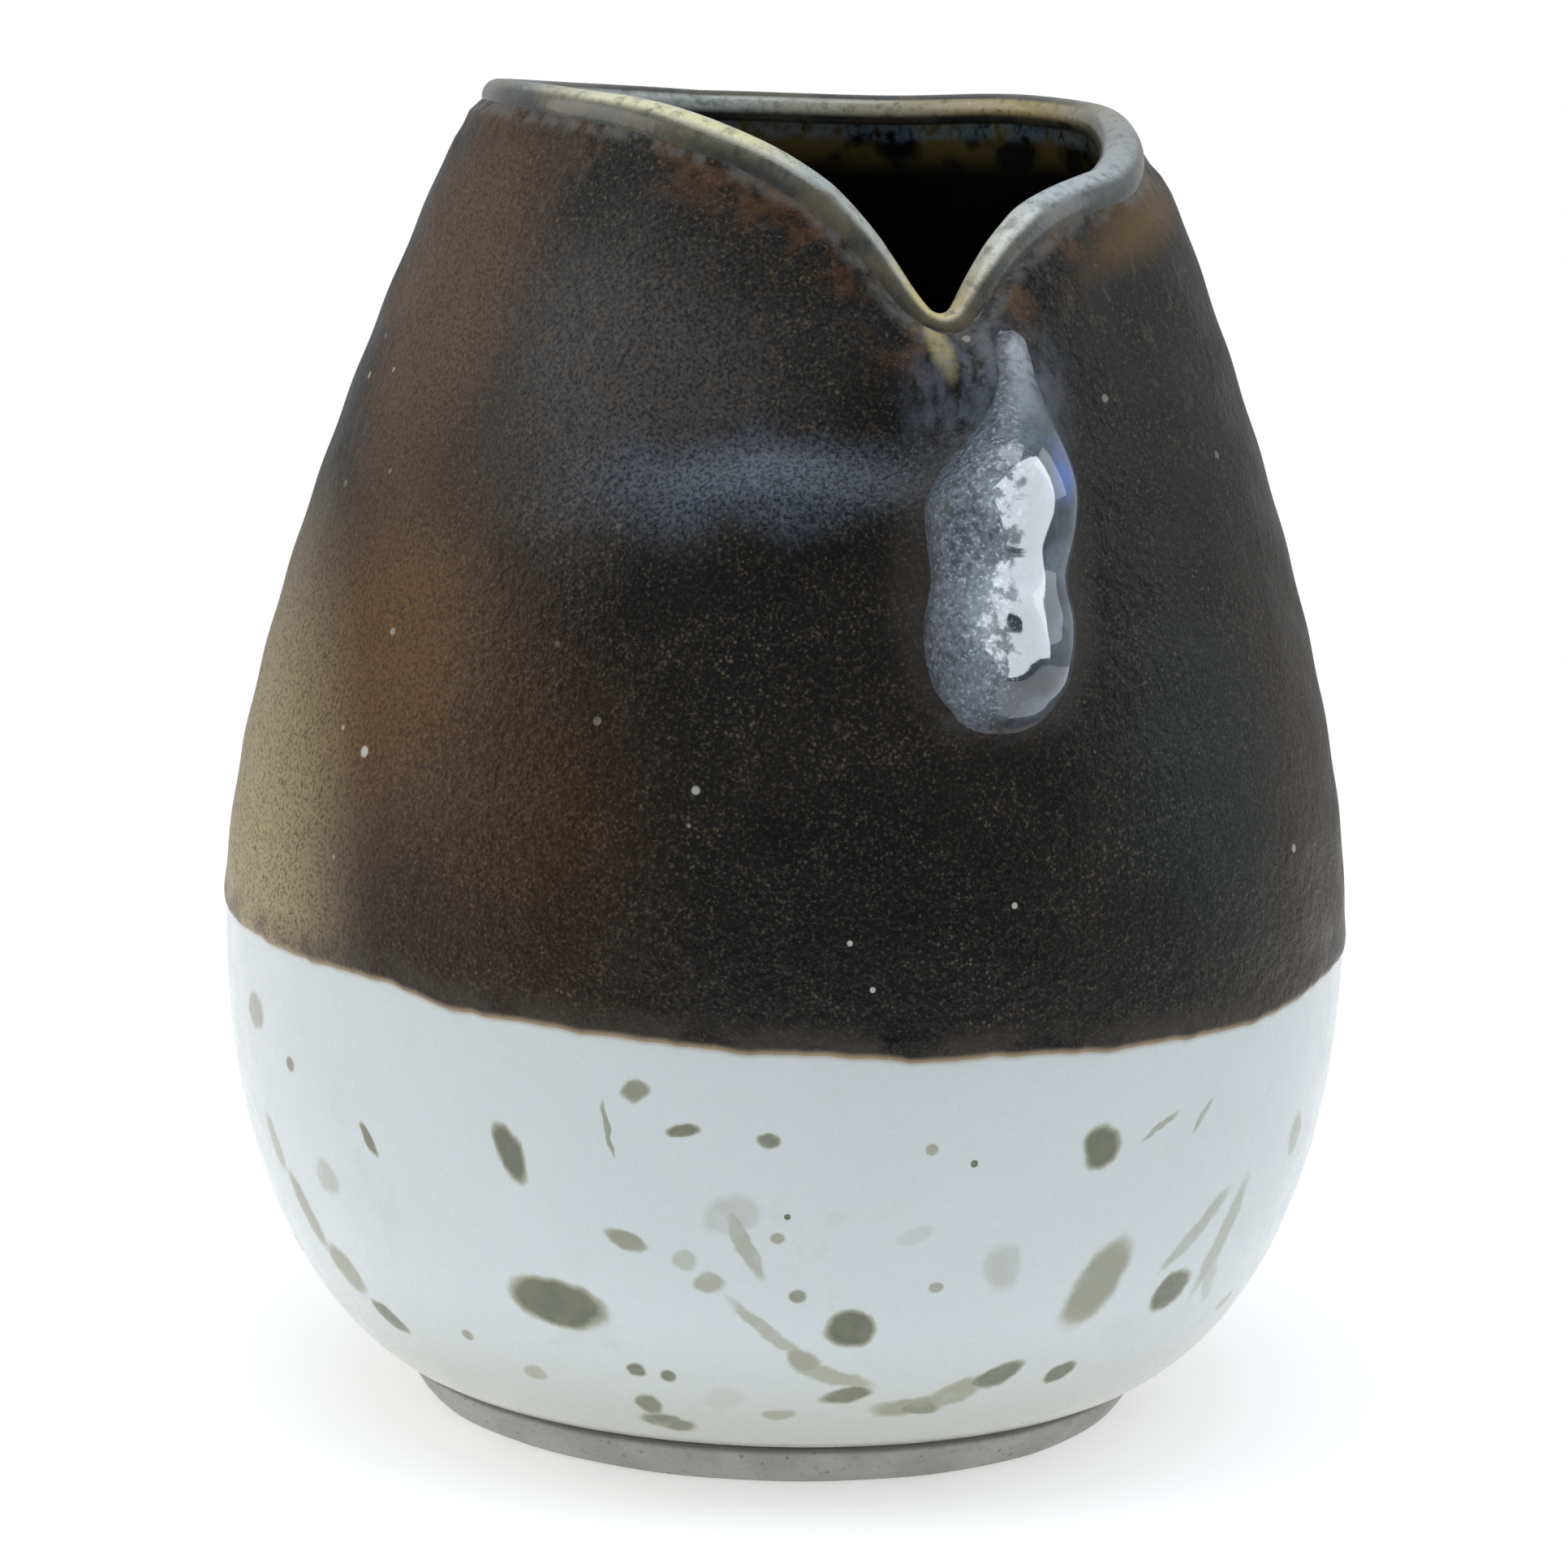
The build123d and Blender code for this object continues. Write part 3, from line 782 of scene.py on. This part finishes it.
    # grey-blue bloom round the drop
    bloom = look.patch(look.warped(3, 2.5), 3.5, 86.5, 15, 15, 4, 0.35, 1.2, 12)
    look.paint((0.13, 0.15, 0.19), bloom, look.ramp(flow, 0.3, 0.62), 0.65)
    skirt_zone = look.patch(look.warped(3, 1.5), 1, 73, 17.5, 26, 6, 0.6, 1.15, 12)
    look.paint((0.06, 0.052, 0.046), skirt_zone, 0.6)
    # edge over the white: greyer band, then a tan fringe
    edge_gap = look.attribute("above_edge")
    look.paint((0.055, 0.047, 0.038), look.ramp(edge_gap, 3.2, 0.8), look.ramp(tone, 0.3, 0.6), 0.7)
    look.paint((0.3, 0.24, 0.15), look.ramp(edge_gap, 0.5, -0.05))
    # pale pits
    pits = look.ramp(look.cells(5.5), 0.075, 0.05)
    look.paint((0.4, 0.38, 0.34), pits, look.ramp(look.noise(20), 0.5, 0.6))
    for azimuth, level, size in ((-69.4, 58, 1.0), (-15, 47.5, 0.5), (1, 50, 0.55), (-12.8, 44, 0.5)):
        look.paint((0.5, 0.47, 0.42), look.patch(look.place, azimuth, level, size, size, 0, 0.6, 1.1, 3))
    rough = look.math("ADD", look.ramp(tone, 0.3, 0.7, 0.34, 0.46), look.times(speck, 0.12))
    peel = look.cells(1.0, feature="SMOOTH_F1")
    normal = look.bumps((look.noise(2.6, 2), 0.07), (peel, 0.1), (grain, 0.1))
    return look.surface(rough, normal, **{"IOR": 1.5, "Specular IOR Level": 0.2})


def lip_look():
    look = Look("broken_lip_glaze")
    azimuth = look.azimuth()
    angle = look.attribute("lip_angle")
    mottle = look.noise(1.1, 3, 0.65)
    patchy = look.noise(4.5, 3, 0.6)
    fine = look.noise(0.45, 2, 0.6)
    node = look.add("ShaderNodeMapRange", {"Value": azimuth, "From Min": -180.0, "From Max": 180.0})
    bands = look.add("ShaderNodeValToRGB", {"Fac": node.outputs[0]})
    stops = [
        (-180, (0.42, 0.46, 0.45)), (-112, (0.3, 0.3, 0.26)), (-93, (0.51, 0.22, 0.08)),
        (-82, (0.18, 0.26, 0.27)), (-72, (0.45, 0.43, 0.3)), (-58, (0.85, 0.83, 0.58)),
        (-30, (0.85, 0.8, 0.48)), (-20, (0.45, 0.51, 0.51)), (-9, (0.45, 0.46, 0.39)),
        (-4, (0.72, 0.6, 0.24)), (3, (0.45, 0.41, 0.26)), (10, (0.69, 0.72, 0.63)),
        (22, (0.51, 0.57, 0.61)), (60, (0.33, 0.35, 0.35)), (110, (0.45, 0.36, 0.15)),
        (180, (0.42, 0.46, 0.45)),
    ]
    ramp = bands.color_ramp
    ramp.elements[0].position, ramp.elements[1].position = 0.0, 1.0
    ramp.elements[0].color, ramp.elements[1].color = (*stops[0][1], 1), (*stops[-1][1], 1)
    for place, tint in stops[1:-1]:
        ramp.elements.new((place + 180) / 360).color = (*tint, 1)
    pale = bands.outputs["Color"]
    dark = look.mix(look.ramp(patchy, 0.4, 0.65), (0.035, 0.037, 0.036), (0.1, 0.085, 0.055))
    ridge = look.math("MULTIPLY", look.ramp(angle, 8, 40), look.ramp(angle, 128, 100))
    ridge = look.math("ADD", ridge, look.times(look.ramp(angle, -30, 10), 0.1), clamp=True)
    back = look.ramp(look.math("ABSOLUTE", azimuth), 72, 98)
    inner_side = look.math("MULTIPLY", look.ramp(angle, 104, 122), look.ramp(angle, 182, 158))
    ridge = look.add("ShaderNodeMix", {0: back, 2: ridge, 3: inner_side}).outputs[0]
    broken = look.math("MULTIPLY", ridge, look.ramp(mottle, 0.25, 0.55, 0.35, 1.0))
    look.colour = look.mix(broken, dark, pale)
    look.paint((0.62, 0.62, 0.56), look.ramp(fine, 0.6, 0.75), ridge, 0.5)
    look.paint((0.1, 0.07, 0.035), look.ramp(patchy, 0.62, 0.75), 0.5)
    rough = look.ramp(mottle, 0.3, 0.7, 0.2, 0.36)
    normal = look.bumps((mottle, 0.06), (fine, 0.03))
    return look.surface(rough, normal, **{"IOR": 1.52, "Coat Weight": 0.4, "Coat Roughness": 0.12})


def liner_look():
    look = Look("liner_black")
    gap = look.attribute("lip_gap")
    cloud = look.noise(8, 3)
    fine = look.noise(1.0, 3, 0.6)
    look.colour = look.mix(look.ramp(cloud, 0.4, 0.7), (0.004, 0.0045, 0.005), (0.009, 0.008, 0.007))
    gold = look.times(look.ramp(gap, 5.2, 2.4), look.ramp(look.noise(5, 3), 0.38, 0.56))
    look.paint((0.11, 0.085, 0.022), gold, 0.6)
    blue = look.times(look.ramp(gap, 2.5, 1.5), look.ramp(fine, 0.35, 0.6))
    look.paint((0.12, 0.17, 0.22), blue, 0.5)
    rough = look.ramp(cloud, 0.3, 0.7, 0.1, 0.2)
    normal = look.bumps((look.noise(3.5, 2), 0.05), (fine, 0.012))
    return look.surface(rough, normal, **{"IOR": 1.5, "Coat Weight": 0.3, "Coat Roughness": 0.06})


def drop_look():
    look = Look("pooled_glass")
    cloud = look.noise(4, 3, 0.6)
    fine = look.noise(0.7, 3, 0.6)
    look.colour = look.mix(look.ramp(cloud, 0.38, 0.66), (0.01, 0.014, 0.018), (0.035, 0.045, 0.058))
    stand = look.attribute("stand")
    across = look.attribute("across")
    rim = look.ramp(stand, 2.2, 0.6)
    look.paint((0.085, 0.075, 0.066), rim, look.ramp(fine, 0.3, 0.6), 0.8)
    grey_side = look.times(look.ramp(across, 0.5, -3.5), look.ramp(fine, 0.34, 0.62, 0.2, 0.9))
    look.paint((0.085, 0.1, 0.125), grey_side)
    grit = look.noise(0.32, 2, 0.6)
    look.paint((0.17, 0.19, 0.21), look.ramp(grit, 0.55, 0.7), look.ramp(across, 1.0, -2.5))
    look.paint((0.012, 0.014, 0.016), look.ramp(grit, 0.46, 0.34), 0.6)
    cobalt = look.patch(look.warped(2, 1.5), 7.2, 81.5, 4.5, 6.5, 0, 0.25, 1.1, 8)
    look.paint((0.03, 0.075, 0.24), cobalt, 0.85)
    # Near-black in the drop's dimple is painted shade.
    hollow_shade = look.patch(look.warped(2, 1), -0.9, 70.2, 3.6, 4.6, 0, 0.4, 1.1, 8)
    look.paint((0.009, 0.012, 0.011), hollow_shade, 0.9)
    neck = look.times(look.ramp(look.attribute("level"), 84, 90), look.ramp(fine, 0.35, 0.6), 0.7)
    look.paint((0.07, 0.08, 0.1), neck)
    torn = look.math("ADD", across, look.ramp(look.noise(1.4, 3, 0.65), 0.2, 0.8, -2.2, 2.2))
    glassy = look.times(
        look.ramp(torn, -2.4, -0.6), look.ramp(look.attribute("level"), 85.5, 82.5),
        look.ramp(rim, 0.9, 0.3),
    )
    rough = look.ramp(glassy, 0.0, 1.0, 0.5, 0.07)
    normal = look.bumps((look.noise(2.6, 1), 0.03), (fine, 0.006))
    coat = look.times(glassy, 0.8)
    return look.surface(
        rough, normal, **{"IOR": 1.55, "Coat Weight": coat, "Coat Roughness": 0.06, "Coat IOR": 1.6},
    )


# Brushed spots: azimuth, height, width, tall, tilt, darkness
SPOTS = [
    (-44.4, 17.1, 8.2, 4.4, -8, 1.0), (-47.9, 29.3, 2.2, 5.0, 22, 0.85), (-13.1, 16.5, 3.8, 3.5, 0, 1.0),
    (11.4, 30.7, 3.5, 3.6, 20, 0.9), (26, 16.7, 4.6, 3.4, 25, 1.0), (14.2, 18.9, 4.6, 8.6, -28, 0.5),
    (5.1, 11.4, 4.9, 2.2, 25, 0.8), (13.9, 10.8, 2.8, 1.9, 18, 0.95), (-71.6, 11.7, 4.2, 2.2, -25, 0.9),
    (-77, 15, 5.5, 3.4, -50, 0.5), (-82, 19, 8, 2.6, -62, 0.45), (-86.5, 24, 5.5, 2.2, -70, 0.35),
    (-87.4, 34.8, 3.8, 3.0, 0, 0.45), (-79.1, 31.9, 1.4, 1.3, 0, 0.6), (-66.1, 27.9, 1.2, 3.2, 28, 0.7),
    (-74.6, 23.3, 3.4, 3.2, 0, 0.25), (-34.8, 35.4, 2.7, 1.7, 25, 0.6), (-30.2, 32.6, 2.4, 1.3, 5, 0.75),
    (-22, 32.1, 1.9, 1.3, 0, 0.7), (-36.1, 23.3, 3.4, 1.7, -20, 0.55), (-30.2, 22.2, 2.2, 2.0, 0, 0.25),
    (-24.2, 23.6, 1.4, 6.6, 25, 0.32), (-25.5, 26, 5, 3.5, 10, 0.2), (-27.8, 20.3, 2.6, 2.0, 0, 0.35),
    (-22, 16.4, 1.3, 8.2, 50, 0.32), (-14.5, 12.2, 1.6, 7.6, 72, 0.35), (-17.8, 13.6, 3.2, 2, -30, 0.45),
    (-12.6, 10.2, 4.2, 1.6, 12, 0.75), (-4.6, 8.8, 6.4, 2, 5, 0.5), (-3.2, 8.6, 3.6, 1.5, 0, 0.65),
    (0.6, 10, 5, 2.6, 22, 0.45), (-36.7, 11.9, 1.8, 1.5, 0, 0.8), (-32.9, 11.5, 1.3, 1.2, 0, 0.75),
    (-35.9, 8.4, 2.6, 2.2, -20, 0.7), (-34.4, 6.6, 4.6, 2.0, -8, 0.75), (-50.2, 9.9, 2.4, 1.6, 0, 0.35),
    (-20.4, 8.2, 2.7, 1.2, 10, 0.4), (-26.8, 9.6, 3.6, 2.4, 20, 0.15), (-18.8, 19.4, 1.4, 1.2, 0, 0.6),
    (-21, 24.3, 1.2, 1, 0, 0.4), (-6.5, 31.5, 1.1, 1, 0, 0.4), (-4.7, 20, 1.3, 1, 0, 0.4),
    (2.1, 21.4, 3.4, 4.6, 15, 0.22), (-7.5, 24.5, 3.4, 1.6, 25, 0.15), (-2.2, 30.2, 0.6, 0.6, 0, 1.3),
    (-20.1, 26.1, 0.5, 0.5, 0, 1.2), (-37.6, 32.3, 0.5, 4.6, 12, 0.5), (24.5, 31.8, 0.6, 3.4, -38, 0.35),
    (18.6, 31.6, 0.6, 4.4, -60, 0.35), (27.2, 21.8, 1.8, 9.5, -48, 0.3), (32.6, 20.4, 2.2, 11, -16, 0.3),
    (33, 17, 2.0, 7, 30, 0.22), (-58, 12.4, 1.2, 1, 0, 0.5), (45, 27, 3, 4, 10, 0.35),
    (42, 13, 3, 1.6, 10, 0.4),
]
for spot_azimuth in np.arange(62, 262, 9.5):
    big = random.random() < 0.35
    width = random.uniform(2.8, 5.5) if big else random.uniform(0.9, 2.2)
    SPOTS.append((
        spot_azimuth + random.uniform(-4, 4), random.uniform(7, 35),
        width, width * random.uniform(0.5, 1.1),
        random.uniform(-40, 40), random.uniform(0.45, 1.0),
    ))


def white_look():
    look = Look("white_glaze")
    height = look.height()
    warp = look.warped(2.2, 1.1)
    total = None
    for azimuth, level, width, tall, tilt, dark in SPOTS:
        small = width < 1.5 and tall < 1.5
        spot = look.patch(
            look.place if small else warp, azimuth, level, width * 1.08, tall * 1.08, -tilt,
            0.62, 1.12, max(2.5, tall * 0.8),
        )
        spot = look.times(spot, dark)
        total = spot if total is None else look.math("MAXIMUM", total, spot)
    wash = look.noise(1.7, 3, 0.6)
    total = look.math("MULTIPLY", total, look.ramp(wash, 0.25, 0.6, 0.72, 1.0))
    cloud = look.noise(14, 3)
    look.colour = look.mix(look.ramp(cloud, 0.35, 0.65), (0.625, 0.68, 0.695), (0.65, 0.69, 0.71))
    # Darker towards the bottom: painted shade on the low part of the white coat.
    look.paint((0.47, 0.475, 0.41), look.ramp(height, 17, 4), 0.75)
    stipple = look.times(look.ramp(look.noise(0.8, 2), 0.5, 0.72), 0.12)
    look.paint((0.56, 0.61, 0.63), stipple)
    ghosts = look.times(
        look.ramp(look.noise(9, 3, 0.6, distortion=0.6), 0.6, 0.72), look.ramp(height, 34, 26), 0.22,
    )
    look.paint((0.49, 0.51, 0.43), ghosts)
    under = look.ramp(look.attribute("below_edge"), 0.5, 0.0)
    look.paint((0.36, 0.31, 0.22), under, 0.75)
    near_foot = look.ramp(height, FOOT_TOP + 0.55, FOOT_TOP + 0.1)
    olive = look.mix(look.ramp(wash, 0.3, 0.65), (0.1, 0.112, 0.078), (0.145, 0.155, 0.1))
    pale_olive = look.mix(look.ramp(wash, 0.3, 0.65), (0.33, 0.345, 0.27), (0.38, 0.38, 0.3))
    stain = look.mix(look.ramp(total, 0.3, 0.85), pale_olive, olive)
    look.paint(stain, look.ramp(total, 0.0, 0.42))
    look.paint((0.2, 0.19, 0.16), near_foot, 0.85)
    rough = look.ramp(look.noise(3, 2), 0.3, 0.7, 0.2, 0.32)
    normal = look.bumps((look.noise(4, 2), 0.05), (look.noise(0.9, 2), 0.012))
    return look.surface(rough, normal, **{"IOR": 1.5, "Coat Weight": 0.3, "Coat Roughness": 0.12})


def clay_look():
    look = Look("bare_stoneware")
    height = look.height()
    cloud = look.noise(6, 3)
    sand = look.noise(0.5, 2, 0.7)
    turning = look.noise(1.0, 2, vector=look.stretched(look.place, (0.08, 0.08, 2.6)))
    look.colour = look.mix(look.ramp(cloud, 0.35, 0.65), (0.33, 0.33, 0.31), (0.41, 0.4, 0.385))
    look.paint((0.22, 0.21, 0.19), look.ramp(sand, 0.55, 0.75), 0.5)
    look.paint((0.16, 0.13, 0.1), look.ramp(look.cells(1.7), 0.14, 0.08), 0.6)
    hairline = look.times(look.ramp(height, FOOT_TOP - 0.45, FOOT_TOP - 0.02), 0.85)
    look.paint((0.15, 0.14, 0.12), hairline)
    # Darker towards the bottom, along the edge the foot rests on.
    darker_at_resting_edge = look.times(look.ramp(height, 0.7, 0.05), 0.4)
    look.paint((0.3, 0.29, 0.27), darker_at_resting_edge)
    rough = look.ramp(sand, 0.3, 0.7, 0.62, 0.85)
    normal = look.bumps((turning, 0.08), (sand, 0.05))
    return look.surface(rough, normal)


def floor_look():
    look = Look("pale_floor")
    tone = look.noise(400, 2)
    look.colour = look.mix(look.ramp(tone, 0.3, 0.7), (0.8, 0.8, 0.8), (0.82, 0.82, 0.82))
    normal = look.bumps((look.noise(3, 2), 0.01))
    rough = look.ramp(tone, 0.3, 0.7, 0.8, 0.9)
    return look.surface(rough, normal, **{
        "Specular IOR Level": 0.0, "Emission Color": (1, 1, 1, 1), "Emission Strength": FLOOR_GLOW,
    })


for piece, material, slot, nodes in (
    (pot_upper, brown_look(), "brown_glaze", ["upper_glaze"]),
    (pot_lip, lip_look(), "lip_glaze", ["rim_roll"]),
    (pot_liner, liner_look(), "black_glaze", ["liner_glaze"]),
    (pot_drop, drop_look(), "pooled_glaze", ["teardrop", "teardrop_glaze"]),
    (pot_lower, white_look(), "white_glaze", ["lower_glaze"]),
    (pot_foot, clay_look(), "bare_clay", ["foot_ring"]),
    (pot_base, None, "clay_body", ["body_wall"]),
):
    piece.data.materials.append(material or pot_foot.data.materials[0])
    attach(piece, "root")
    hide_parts(*nodes)


# --- stage, light, camera
CAMERA_AZIMUTH = -21.0
CAMERA_ELEVATION = 10.58
CAMERA_DISTANCE = 458.35
CAMERA_LENS = 127.6
CAMERA_ROLL = 1.525
TARGET = Vector((-0.39, 0.15, 50.9)) * MM
FLOOR_SIZE = 0.3            # metres
FLOOR_GLOW = 0.43           # makes the floor read white under soft light
AMBIENT_SIDE = 0.5
AMBIENT_FRONT = 0.13


def direction(azimuth, elevation):
    """Unit vector from the object, azimuth counted from the camera's own."""
    a, e = radians(azimuth + CAMERA_AZIMUTH), radians(elevation)
    return Vector((sin(a) * cos(e), -cos(a) * cos(e), sin(e)))


def floor_piece():
    rings, count = 40, 96
    radius = FLOOR_SIZE / MM * np.linspace(0.002, 1, rings)[None]
    a = np.arange(count)[:, None] * 2 * pi / count
    points = np.stack([radius * np.sin(a), -radius * np.cos(a), 0 * radius * a], -1).reshape(-1, 3)
    faces = list(ring_grid(count, rings)) + [[i * rings for i in range(count)]]
    made = make_object("floor", points, faces)
    made.data.materials.append(floor_look())


def softbox(name, azimuth, elevation, distance, width, height, radiance, colour=(1, 1, 1)):
    """Rectangular light that faces the object, with the brightness its surface shows."""
    data = bpy.data.lights.new(name, "AREA")
    data.shape = "RECTANGLE"
    data.size, data.size_y = width, height
    data.energy = radiance * pi * width * height
    data.color = colour
    light = bpy.data.objects.new(name, data)
    bpy.context.scene.collection.objects.link(light)
    light.location = TARGET + direction(azimuth, elevation) * distance
    light.rotation_mode = "QUATERNION"
    light.rotation_quaternion = (TARGET - light.location).to_track_quat("-Z", "Y")
    return light


def light_world():
    world = bpy.data.worlds.new("studio")
    bpy.context.scene.world = world
    world.use_nodes = True
    tree = world.node_tree
    tree.nodes.clear()
    seen = tree.nodes.new("ShaderNodeLightPath")
    plain = tree.nodes.new("ShaderNodeBackground")
    plain.inputs["Color"].default_value = (1, 1, 1, 1)
    coords = tree.nodes.new("ShaderNodeTexCoord")
    front = direction(0, 0)
    facing = tree.nodes.new("ShaderNodeVectorMath")
    facing.operation = "DOT_PRODUCT"
    facing.inputs[1].default_value = tuple(front)
    tree.links.new(coords.outputs["Generated"], facing.inputs[0])
    share = tree.nodes.new("ShaderNodeMapRange")
    share.interpolation_type = "SMOOTHSTEP"
    limits = {"From Min": -0.1, "From Max": 0.85, "To Min": AMBIENT_SIDE, "To Max": AMBIENT_FRONT}
    for key, value in limits.items():
        share.inputs[key].default_value = value
    tree.links.new(facing.outputs["Value"], share.inputs["Value"])
    room = tree.nodes.new("ShaderNodeBackground")
    room.inputs["Color"].default_value = (0.93, 0.97, 1, 1)
    tree.links.new(share.outputs[0], room.inputs["Strength"])
    both = tree.nodes.new("ShaderNodeMixShader")
    out = tree.nodes.new("ShaderNodeOutputWorld")
    tree.links.new(seen.outputs["Is Camera Ray"], both.inputs[0])
    tree.links.new(room.outputs[0], both.inputs[1])
    tree.links.new(plain.outputs[0], both.inputs[2])
    tree.links.new(both.outputs[0], out.inputs["Surface"])


def place_camera():
    data = bpy.data.cameras.new("camera")
    data.lens = CAMERA_LENS
    data.sensor_width = 36.0
    data.clip_start, data.clip_end = 0.01, 20.0
    camera = bpy.data.objects.new("camera", data)
    bpy.context.scene.collection.objects.link(camera)
    camera.location = TARGET + direction(0, CAMERA_ELEVATION) * CAMERA_DISTANCE * MM
    camera.rotation_mode = "QUATERNION"
    looking = (TARGET - camera.location).to_track_quat("-Z", "Y")
    camera.rotation_quaternion = looking @ Quaternion((0, 0, 1), radians(CAMERA_ROLL))
    bpy.context.scene.camera = camera


floor_piece()
light_world()
softbox("left_softbox", -82, 22, 0.62, 0.5, 0.55, 1.35, (1, 0.98, 0.95))
softbox("top_softbox", 0, 80, 0.75, 0.6, 0.45, 2.5, (0.92, 0.96, 1))
softbox("right_window", 90, 30, 0.55, 0.3, 0.42, 1.3, (0.92, 0.96, 1))
gleam = softbox("drop_window", 50, 26, 0.5, 0.5, 0.66, 6.5, (0.9, 0.95, 1))
glossy_pieces = bpy.data.collections.new("glossy_pieces")
glossy_pieces.objects.link(pot_drop)
gleam.light_linking.receiver_collection = glossy_pieces
fill = softbox("front_fill", 0, 20, 0.9, 0.5, 0.5, 1.3)
fill.visible_glossy = False
place_camera()
bpy.context.scene.view_settings.view_transform = "Standard"
